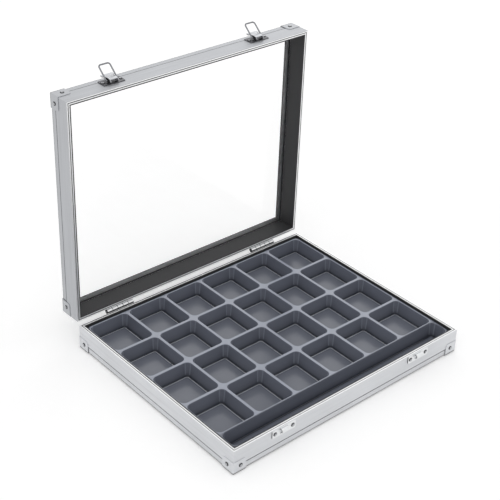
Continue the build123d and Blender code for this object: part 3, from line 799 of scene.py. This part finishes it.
def make_tray_mesh(tray, material):
    """Cups in rows, one trough, and the top and skirt that join them, given an even wall."""
    low, high, width, pocket, rows_middle, trough_middle = pocket_layout(tray)
    tree = rows_of_cups()
    profile = cup_profile(tray, high.z)
    common = {
        "Corner": tray.corner, "Stops": RING_STOPS, "Profile points": len(profile),
        "Material": material,
    }
    single = {"Columns": 1, "Rows": 1, "Pitch X": 0.0, "Pitch Y": 0.0}
    cups = tree.grow(line_mesh(profile), {
        **common, "Half width": pocket[0] / 2, "Half length": pocket[1] / 2,
        "Columns": tray.columns, "Rows": tray.rows,
        "Pitch X": pocket[0] + tray.rib, "Pitch Y": pocket[1] + tray.rib,
        "Middle": (0, rows_middle, 0),
    })
    trough_line = [(x, y, z, min(tone, TROUGH_TONE)) for x, y, z, tone in profile]
    trough = tree.grow(line_mesh(trough_line), {
        **common, **single, "Half width": width / 2, "Half length": tray.trough / 2,
        "Middle": (0, trough_middle, 0),
    })
    edge = arc((-tray.lip, high.z - tray.lip), tray.lip, 90, 0, 4)
    # painted shade down the tray's outer skirt
    skirt_line = [(x, 1, z, 0.0) for x, z in edge] + [(0, 1, low.z, 0.2)]
    skirt = tree.grow(line_mesh(skirt_line), {
        **common, **single, "Profile points": len(skirt_line), "Corner": tray.outer_corner,
        "Half width": (high.x - low.x) / 2, "Half length": (high.y - low.y) / 2,
        "Middle": (0, (high.y + low.y) / 2, 0),
    })
    bm = bmesh.new()
    for part in (cups, trough, skirt):
        bm.from_mesh(part)
        bpy.data.meshes.remove(part)
    level = high.z - ON_TOP
    open_edges = [edge for edge in bm.edges if edge.is_boundary]
    top_edges = [edge for edge in open_edges if min(v.co.z for v in edge.verts) > level]
    bmesh.ops.triangle_fill(bm, edges=top_edges, use_beauty=True)
    bmesh.ops.remove_doubles(bm, verts=bm.verts, dist=GROWN_WELD)
    bmesh.ops.recalc_face_normals(bm, faces=bm.faces)
    top = [f for f in bm.faces if f.calc_center_median().z > level]
    if sum(f.normal.z for f in top) < 0:
        bmesh.ops.reverse_faces(bm, faces=bm.faces)
    sheet = poured(bm, bpy.data.meshes.new("sheet"))
    smooth(sheet, SHEET_BEND)
    holder = linked("holder", sheet)
    wall = holder.modifiers.new("wall", "SOLIDIFY")
    wall.thickness = tray.wall
    wall.offset = -1.0
    weigh_normals(holder)
    mesh = plain_mesh(holder)
    mesh.materials.clear()
    mesh.materials.append(material)
    return mesh


# ------------------------------------------------------------------ rivets
HEAD_STOPS = 28
HEAD_SUNK = 0.05 * MM  # how far a head goes into what it holds
PIT_TO, DIMPLE_FROM, DIMPLE_SPAN, CROWN_TO = 0.25, 0.22, 0.3, 0.64  # shares of the head's radius
# painted shade, fainter, in the dimple; past CROWN_TO the foot gets full painted shade
PIT_TONE = 0.6


def rivet_profile(rivet, sunk, steps=9):
    """The head from its dimpled middle over the crown to its seat, with painted shade at its foot
    and, fainter, in its dimple.
    """
    points = []
    for step in range(steps + 1):
        t = step / steps
        ease = min(max((t - DIMPLE_FROM) / DIMPLE_SPAN, 0), 1)
        dip = rivet.dimple * (1 - ease * ease * (3 - 2 * ease))
        tone = 0.0 if t > CROWN_TO else PIT_TONE if t < PIT_TO else 1.0
        points.append((rivet.radius * t, 1, rivet.height * (1 - t**4) ** 0.5 - dip, tone))
    return points + [(rivet.radius, 1, -sunk, 0.0), (0, 1, -sunk, 0.0)]


def box_round(places):
    """The low and the high corner of the box round some points."""
    low = Vector([min(place[i] for place in places) for i in range(3)])
    high = Vector([max(place[i] for place in places) for i in range(3)])
    return low, high


def rivet_spots(node):
    """The low and high corner of the box round each rivet of a node."""
    spots = []
    bm = welded(frame["nodes"][node].data)
    waiting = set(bm.verts)
    while waiting:
        solid, reached = set(), [next(iter(waiting))]
        while reached:
            vert = reached.pop()
            if vert in solid:
                continue
            solid.add(vert)
            reached += [e.other_vert(vert) for e in vert.link_edges]
        waiting -= solid
        spots.append(box_round([v.co for v in solid]))
    bm.free()
    return spots


def outward_of(low, high, node):
    """The way a rivet points: along its thin axis, away from the middle of its half."""
    half = body_of(node)
    size = high - low
    offset = (low + high) / 2 - half_middle(half)
    rim = RIMS[half]
    axis = min([i for i in range(3) if abs(rim[i]) < 0.5], key=lambda i: size[i])
    if min(size) < 0.7 * size[axis]:
        axis = min(range(3), key=lambda i: size[i])
    way = Vector((0, 0, 0))
    way[axis] = 1 if offset[axis] > 0 else -1
    return way


def make_rivet_mesh(nodes, rivet, material):
    """Every rivet head of a half, as one mesh."""
    profile = rivet_profile(rivet, HEAD_SUNK)
    points = list(profile)
    facing = [(0, 0, 1)] * len(points)
    for node in nodes:
        for low, high in rivet_spots(node):
            way = outward_of(low, high, node)
            middle = (low + high) / 2
            tip = middle + way * abs(way.dot(high - low)) / 2
            points.append((*(tip - way * rivet.height), 0.0))
            facing.append(tuple(way))
    source = toned_mesh(points)
    attribute = source.attributes.new("facing", "FLOAT_VECTOR", "POINT")
    attribute.data.foreach_set("vector", [c for way in facing for c in way])
    mesh = heads_on_points().grow(source, {
        "Half width": 0.0, "Half length": 0.0, "Corner": 0.0, "Stops": HEAD_STOPS,
        "Profile points": len(profile), "Points from": len(profile), "Material": material,
    })
    bm = opened(mesh)
    bmesh.ops.recalc_face_normals(bm, faces=bm.faces)
    smooth(poured(bm, mesh), ROUND_BEND)
    return mesh


# ------------------------------------------------------------------ lining
BEAD_WIDTH = 4.5 * MM  # from a rail's outer face to the inner edge of its rim
TURNED_OVER = 0.3 * MM  # how far the liner's edge laps over the rim
TURNED_PROUD = 0.8 * MM  # how far the liner's edge stands inside the rim
TURNED_DEPTH = 2.6 * MM  # how far the edge reaches below the rim
TURNED_RISE = 0.06 * MM  # how far it stands over the rim


def half_middle(half):
    """The middle of a half's frame."""
    low, high = box_round([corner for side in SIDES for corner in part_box(f"{half}_{side}_rail")])
    return (low + high) / 2


def lined(node, run, rim, out, levels):
    """The liner's own strip, with the edge that is turned over the rim's inner side."""
    mesh = copied(node)
    bm = welded(mesh)
    middle = half_middle(body_of(node))
    rail_low, rail_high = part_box(node.replace("liner", "rail"))
    reach = abs(run.dot(rail_high - rail_low)) / 2
    near, far = BEAD_WIDTH - TURNED_OVER, BEAD_WIDTH + TURNED_PROUD
    section = (
        (near, -TURNED_DEPTH), (near, TURNED_RISE), (far, TURNED_RISE), (far, -TURNED_DEPTH),
    )
    ends = []
    for way in (-1, 1):
        ring = []
        for inwards, height in section:
            along = way * (reach - inwards)
            place = run * (run.dot(middle) + along) + out * (levels[0] - inwards)
            ring.append(bm.verts.new(place + rim * (levels[1] + height)))
        ends.append(ring)
    faces = [ends[0], ends[1][::-1]]
    for i in range(4):
        j = (i + 1) % 4
        faces.append([ends[0][j], ends[0][i], ends[1][i], ends[1][j]])
    made = [bm.faces.new(face) for face in faces]
    bmesh.ops.recalc_face_normals(bm, faces=made)
    return poured(bm, mesh)


# ------------------------------------------------------------------ hardware
HINGE_KNUCKLES = 5
# painted shade: half of the dark line painted between two knuckles
GAP_HALF = 0.35 * MM  # half of a dark line between two knuckles
WIRE_RADIUS = 0.89 * MM  # the solid's wire has 0.9
WIRE_END = 4.2 * MM  # from the middle of a loop to its turned-in ends
WIRE_BENDS = [bend * MM for bend in (1.4, 2.8, 2.8, 1.4)]


def painted_knuckle_gap_shade(finish):
    """Painted shade where two of a hinge's knuckles meet."""
    low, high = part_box("hinge_right_pin")
    pitch = (high.x - low.x) / HINGE_KNUCKLES
    along = finish.math("ABSOLUTE", finish.level((1, 0, 0)))
    past = finish.math("PINGPONG", finish.math("SUBTRACT", along, low.x), pitch / 2)
    return finish.band(past, 0.0, GAP_HALF)


def painted_end_shade(finish, *sides):
    """Painted shade on a fitting's left and right ends, and on further sides."""
    return [finish.facing(way) for way in ((1, 0, 0), (-1, 0, 0), *sides)]


def bent_path(corners, radii, steps=6):
    """A line through right-angled corners, each rounded to its radius."""
    path = [corners[0]]
    for before, corner, after, radius in zip(corners, corners[1:], corners[2:], radii):
        back, on = (before - corner).normalized(), (after - corner).normalized()
        centre = corner + (back + on) * radius
        for i in range(steps + 1):
            turn = pi / 2 * i / steps
            path.append(centre - (on * cos(turn) + back * sin(turn)) * radius)
    return path + [corners[-1]]


def bail_mesh(node, stops=14):
    """A latch's wire loop, drawn from the frame's own box of it."""
    low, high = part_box(node)
    centre = (low.x + high.x) / 2
    leg = (high.x - low.x) / 2 - WIRE_RADIUS
    foot = Vector((centre, low.y + WIRE_RADIUS, low.z + WIRE_RADIUS))
    tip = Vector((centre, high.y - WIRE_RADIUS, high.z - WIRE_RADIUS))
    right = Vector((1, 0, 0))
    corners = [
        foot - right * WIRE_END, foot - right * leg, tip - right * leg,
        tip + right * leg, foot + right * leg, foot + right * WIRE_END,
    ]
    path = bent_path(corners, WIRE_BENDS)
    across = right.cross(tip - foot).normalized()
    bm = bmesh.new()
    rings = []
    turns = [2 * pi * k / stops for k in range(stops)]
    for i, point in enumerate(path):
        ahead = (path[min(i + 1, len(path) - 1)] - path[max(i - 1, 0)]).normalized()
        side = ahead.cross(across)
        spokes = [side * cos(t) + across * sin(t) for t in turns]
        rings.append([bm.verts.new(point + spoke * WIRE_RADIUS) for spoke in spokes])
    for ring, after in zip(rings, rings[1:]):
        for k in range(stops):
            j = (k + 1) % stops
            bm.faces.new((ring[k], ring[j], after[j], after[k]))
    bm.faces.new(rings[0])
    bm.faces.new(rings[-1])
    bmesh.ops.recalc_face_normals(bm, faces=bm.faces)
    mesh = poured(bm, bpy.data.meshes.new(node))
    smooth(mesh, ROUND_BEND)
    return mesh


# ------------------------------------------------------------------ operators
class SPECIMENBOX_OT_finish_rails(bpy.types.Operator):
    """Softens the rails' edges and gives them satin aluminium and a charcoal lining"""

    bl_idname = "specimenbox.finish_rails"
    bl_label = "Rails and liners"

    def execute(self, context):
        metal = context.scene.specimen_box.metal
        liner = dark_liner()
        for half, rim in RIMS.items():
            middle = half_middle(half)
            for side in SIDES:
                node = f"{half}_{side}_rail"
                low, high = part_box(node)
                size = high - low
                longest = max(range(3), key=lambda i: size[i])
                run = Vector([1.0 if i == longest else 0.0 for i in range(3)])
                out = run.cross(rim).normalized()
                if out.dot((low + high) / 2 - middle) < 0:
                    out = -out
                levels = [max(low.dot(way), high.dot(way)) for way in (out, rim)]
                # painted light and shade: the base's rails take the lighter copy of the alloy, the
                # lid's the darker
                colour = metal.face if half == "base" else metal.lid_face_painted_shade
                material = satin_aluminium(
                    f"aluminium_{half}_{side}", colour, metal.rim, run, rim, out, levels
                )
                mesh = softened(node, metal.edge)
                new_piece(mesh, f"{half}_{side}_extrusion", material, half, "satin_aluminium", node)
                node = f"{half}_{side}_liner"
                mesh = lined(node, run, rim, out, levels)
                new_piece(mesh, f"{half}_{side}_lining", liner, half, "dark_liner", node)
        return {"FINISHED"}


class SPECIMENBOX_OT_finish_caps(bpy.types.Operator):
    """Gives the corner caps soft pressed edges and plated metal"""

    bl_idname = "specimenbox.finish_caps"
    bl_label = "Corner caps"

    def execute(self, context):
        metal = context.scene.specimen_box.metal
        for half, rim in RIMS.items():
            # painted light and shade: the base's caps take the lighter copy of the alloy, the lid's
            # the darker, with painted shade on the rounded edge below
            colour = metal.face if half == "base" else metal.lid_face_painted_shade
            material = plated_steel(
                f"plated_cap_{half}", colour, 0.42, lambda finish: [painted_under_edge_shade(finish, rim)]
            )
            for corner in CORNERS:
                node = f"{half}_corner_cap_{corner}"
                mesh = softened(node, metal.edge)
                new_piece(mesh, f"{half}_cap_{corner}", material, half, "corner_metal", node)
        return {"FINISHED"}


class SPECIMENBOX_OT_set_rivets(bpy.types.Operator):
    """Sets a domed and dimpled head on every rivet of both halves"""

    bl_idname = "specimenbox.set_rivets"
    bl_label = "Rivets"

    GROUPS = {
        "base": ("base_corner_rivets", "hinge_base_rivets", "catch_rivets"),
        "lid": ("lid_corner_rivets", "hinge_lid_rivets", "latch_rivets"),
    }

    def execute(self, context):
        settings = context.scene.specimen_box
        material = rivet_steel(settings.metal.fitting)
        for half, nodes in self.GROUPS.items():
            mesh = make_rivet_mesh(nodes, settings.rivet, material)
            new_piece(mesh, f"{half}_rivets", material, half, "rivet_metal", *nodes)
        return {"FINISHED"}


class SPECIMENBOX_OT_mould_tray(bpy.types.Operator):
    """Moulds the tray: rows of drafted cups, the trough and the skirt"""

    bl_idname = "specimenbox.mould_tray"
    bl_label = "Tray"

    def execute(self, context):
        tray = context.scene.specimen_box.tray
        material = tray_plastic(tray)
        mesh = make_tray_mesh(tray, material)
        new_piece(mesh, "moulded_tray", material, "tray", "tray_plastic", "specimen_tray")
        return {"FINISHED"}


class SPECIMENBOX_OT_fit_hardware(bpy.types.Operator):
    """Finishes the latches, catches and hinges"""

    bl_idname = "specimenbox.fit_hardware"
    bl_label = "Latches, catches and hinges"

    def execute(self, context):
        metal = context.scene.specimen_box.metal
        # painted shade: on the catches' ends and undersides, on the hinge leaves' knuckle gaps,
        # ends and faces turned to -y, on the levers' ends, and as the dark steel of the latches'
        # plates and the pins
        plate = plated_steel(
            "catch_plate", metal.plate, 0.3, lambda finish: painted_end_shade(finish, (0, 0, -1))
        )
        leaf = plated_steel(
            "hinge_plate", metal.plate, 0.3,
            lambda finish: [painted_knuckle_gap_shade(finish), *painted_end_shade(finish, (0, -1, 0))],
        )
        steel = plated_steel("nickel_fitting", metal.fitting, dark=painted_end_shade)
        painted_shade_dull = plated_steel("dull_steel", metal.painted_shade_dull, 0.3)
        wire = plated_steel("bright_wire", metal.wire)
        for hand in HANDS:
            finishes = {
                f"catch_{hand}": plate, f"hinge_{hand}_base_leaf": leaf,
                f"hinge_{hand}_lid_leaf": leaf, f"latch_{hand}_lever": steel,
                f"latch_{hand}_plate": painted_shade_dull, f"latch_{hand}_lever_pin": painted_shade_dull,
                f"hinge_{hand}_pin": painted_shade_dull,
            }
            for node, material in finishes.items():
                mesh = softened(node, metal.edge / 2)
                new_piece(mesh, f"{node}_finished", material, body_of(node), "fitting_steel", node)
            node = f"latch_{hand}_bail"
            mesh = bail_mesh(node)
            new_piece(mesh, f"{node}_wire", wire, body_of(node), "fitting_steel", node)
        return {"FINISHED"}


class SPECIMENBOX_OT_glaze(bpy.types.Operator):
    """Gives the lid its clear pane and the base its covered board"""

    bl_idname = "specimenbox.glaze"
    bl_label = "Pane and board"

    def execute(self, context):
        for node, material in (("lid_glass", clear_pane()), ("base_panel", dark_board())):
            mesh = frame["nodes"][node].data
            mesh.materials.clear()
            mesh.materials.append(material)
        return {"FINISHED"}


class SPECIMENBOX_OT_set_stage(bpy.types.Operator):
    """Sets the pale floor, the soft lamps and the camera"""

    bl_idname = "specimenbox.set_stage"
    bl_label = "Stage"

    FLOOR_HALF = 4.0
    KEY_SIZE, KEY_PLACE = 3.0, Vector((-1.4, -1.0, 2.6))
    BACK_SIZE, BACK_PLACE = 1.0, Vector((1.05, 1.1, 1.1))
    LAMPS_AIM = Vector((0, 0, 0.05))
    SENSOR_WIDTH = 36.0  # in millimetres, like the lens
    SEEN_TO = 20.0

    def execute(self, context):
        stage = context.scene.specimen_box.stage
        self.lay_floor(stage)
        self.light_world(context, stage)
        self.hang_lamp("key", stage.key, self.KEY_SIZE, self.KEY_PLACE)
        self.hang_lamp("back", stage.back, self.BACK_SIZE, self.BACK_PLACE)
        self.place_camera(context, stage)
        return {"FINISHED"}

    def lay_floor(self, stage):
        half = self.FLOOR_HALF
        mesh = bpy.data.meshes.new("floor")
        corners = [(-half, -half, 0), (half, -half, 0), (half, half, 0), (-half, half, 0)]
        mesh.from_pydata(corners, [], [(0, 1, 2, 3)])
        pale = Finish("pale_floor", Roughness=1.0, Specular_IOR_Level=0.0)
        pale.set("Base Color", rgba(stage.floor))
        pale.set("Emission Color", (1, 1, 1, 1))
        pale.set("Emission Strength", pale.both(seen_rays(pale), stage.lift))
        mesh.materials.append(pale.material)
        linked("floor", mesh)

    def light_world(self, context, stage):
        world = bpy.data.worlds.new("studio")
        context.scene.world = world
        world.use_nodes = True
        nodes = Nodes(world.node_tree)
        background = nodes.tree.nodes["Background"]
        nodes.wire(background, "Color", (1, 1, 1, 1))
        wires = {"Value": seen_rays(nodes), "To Min": stage.sky, "To Max": 1.0}
        strength = nodes.add("ShaderNodeMapRange", wires)
        nodes.wire(background, "Strength", strength.outputs["Result"])

    def hang_lamp(self, name, power, size, place):
        light = bpy.data.lights.new(name, "AREA")
        light.shape = "SQUARE"
        light.size = size
        light.energy = power
        lamp = linked(f"{name}_lamp", light)
        lamp.location = place
        lamp.rotation_euler = (self.LAMPS_AIM - place).to_track_quat("-Z", "Y").to_euler()

    def place_camera(self, context, stage):
        data = bpy.data.cameras.new("camera")
        data.lens = stage.lens
        data.sensor_width = self.SENSOR_WIDTH
        data.clip_end = self.SEEN_TO
        camera = linked("camera", data)
        camera.location = stage.eye
        camera.rotation_euler = stage.turn
        context.scene.camera = camera
        context.scene.view_settings.view_transform = "Standard"


def seen_rays(nodes):
    """One for the camera's rays and for those that come by gloss or through glass."""
    rays = nodes.add("ShaderNodeLightPath").outputs
    seen = nodes.math("MAXIMUM", rays["Is Camera Ray"], rays["Is Glossy Ray"])
    return nodes.math("MAXIMUM", seen, rays["Is Transmission Ray"])


# ------------------------------------------------------------------ the add-on
PIECE_OPERATORS = (
    SPECIMENBOX_OT_finish_rails,
    SPECIMENBOX_OT_finish_caps,
    SPECIMENBOX_OT_set_rivets,
    SPECIMENBOX_OT_mould_tray,
    SPECIMENBOX_OT_fit_hardware,
    SPECIMENBOX_OT_glaze,
    SPECIMENBOX_OT_set_stage,
)


class SPECIMENBOX_PT_panel(bpy.types.Panel):
    """Lists the operators that dress the box"""

    bl_label = "Specimen Box"
    bl_space_type = "VIEW_3D"
    bl_region_type = "UI"
    bl_category = "Specimen Box"

    def draw(self, context):
        for operator in PIECE_OPERATORS:
            self.layout.operator(operator.bl_idname)


SETTINGS = (TraySettings, MetalSettings, RivetSettings, StageSettings, BoxSettings)
CLASSES = (*SETTINGS, *PIECE_OPERATORS, SPECIMENBOX_PT_panel)


def register():
    for cls in CLASSES:
        bpy.utils.register_class(cls)
    bpy.types.Scene.specimen_box = PointerProperty(type=BoxSettings)


def unregister():
    del bpy.types.Scene.specimen_box
    for cls in reversed(CLASSES):
        bpy.utils.unregister_class(cls)


def main():
    register()
    for operator in PIECE_OPERATORS:
        family, name = operator.bl_idname.split(".")
        getattr(getattr(bpy.ops, family), name)()


if __name__ == "__main__":
    main()
